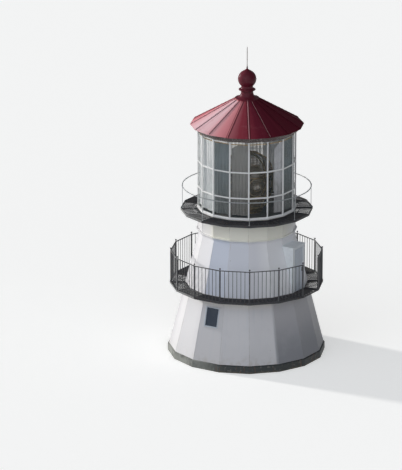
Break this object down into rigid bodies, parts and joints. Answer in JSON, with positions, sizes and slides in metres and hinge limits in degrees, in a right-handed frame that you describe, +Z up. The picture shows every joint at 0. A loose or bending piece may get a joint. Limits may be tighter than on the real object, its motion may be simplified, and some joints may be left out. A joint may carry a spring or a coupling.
{
  "type": "lighthouse",
  "caption": "Short tapering sixteen-sided iron lighthouse with a railed gallery, an upper gallery, a glazed lantern and a red roof with a ball ventilator.",
  "frame": {"origin": "centre of the tower's foot, on the ground", "axes": "+Z up along the tower's axis; a corner of the sixteen-sided wall points along -Y; the gallery door faces between +X and -Y"},
  "size_m": [6.164, 6.164, 12.242],
  "materials": {
    "white_paint": "white oil paint on iron plates, slightly chalked",
    "plinth_paint": "dark green-grey paint, worn",
    "concrete": "concrete floor",
    "window_paint": "pale grey paint",
    "window_glass": "dark window pane",
    "floor_plate": "iron floor plate",
    "black_iron": "black paint on iron bars",
    "grating_iron": "black painted iron grating",
    "porch_paint": "white paint",
    "door_paint": "pale grey-white paint",
    "handrail_paint": "pale grey paint on pipe",
    "glazing_paint": "cream-white paint on glazing bars",
    "lantern_glass": "clear lantern panes",
    "cornice_paint": "weathered grey-white paint",
    "red_paint": "red paint on iron plates, slightly faded",
    "rod_steel": "weathered steel rod",
    "lens_brass": "dull brass",
    "lens_glass": "smoky amber lens glass",
    "curtain_cloth": "pale grey cotton curtain"
  },
  "bodies": {
    "root": {"plinth": "plinth_paint", "ground_floor": "concrete", "lower_wall_front": "white_paint", "lower_wall_right": "white_paint", "lower_wall_back": "white_paint", "lower_wall_left": "white_paint", "window_frame": "window_paint", "window_glass": "window_glass", "floor_shelf": "floor_plate", "gallery_floor": "floor_plate", "gallery_beams": "black_iron", "gallery_grating": "grating_iron", "gallery_posts": "black_iron", "gallery_railing_right": "black_iron", "gallery_railing_left": "black_iron", "upper_wall_front": "white_paint", "upper_wall_right": "white_paint", "upper_wall_back": "white_paint", "upper_wall_left": "white_paint", "door_porch": "porch_paint", "gallery_door": "door_paint", "collar_moulding": "white_paint", "neck_plates": "white_paint", "lantern_gallery_beams": "black_iron", "lantern_gallery_grating": "grating_iron", "handrail": "handrail_paint", "handrail_stanchions": "handrail_paint", "lantern_floor": "floor_plate", "lantern_sill": "glazing_paint", "glazing_posts": "glazing_paint", "glazing_rings": "glazing_paint", "lantern_glass_low": "lantern_glass", "lantern_glass_middle": "lantern_glass", "lantern_glass_high": "lantern_glass", "lantern_cornice": "cornice_paint", "roof_plates": "red_paint", "roof_ribs": "red_paint", "ventilator_base": "red_paint", "ventilator_ball": "red_paint", "lightning_rod": "rod_steel", "lens_pedestal": "lens_brass", "lens_frame": "lens_brass", "lens_glass": "lens_glass", "curtain_rail": "lens_brass", "curtains": "curtain_cloth"}
  },
  "joints": []
}
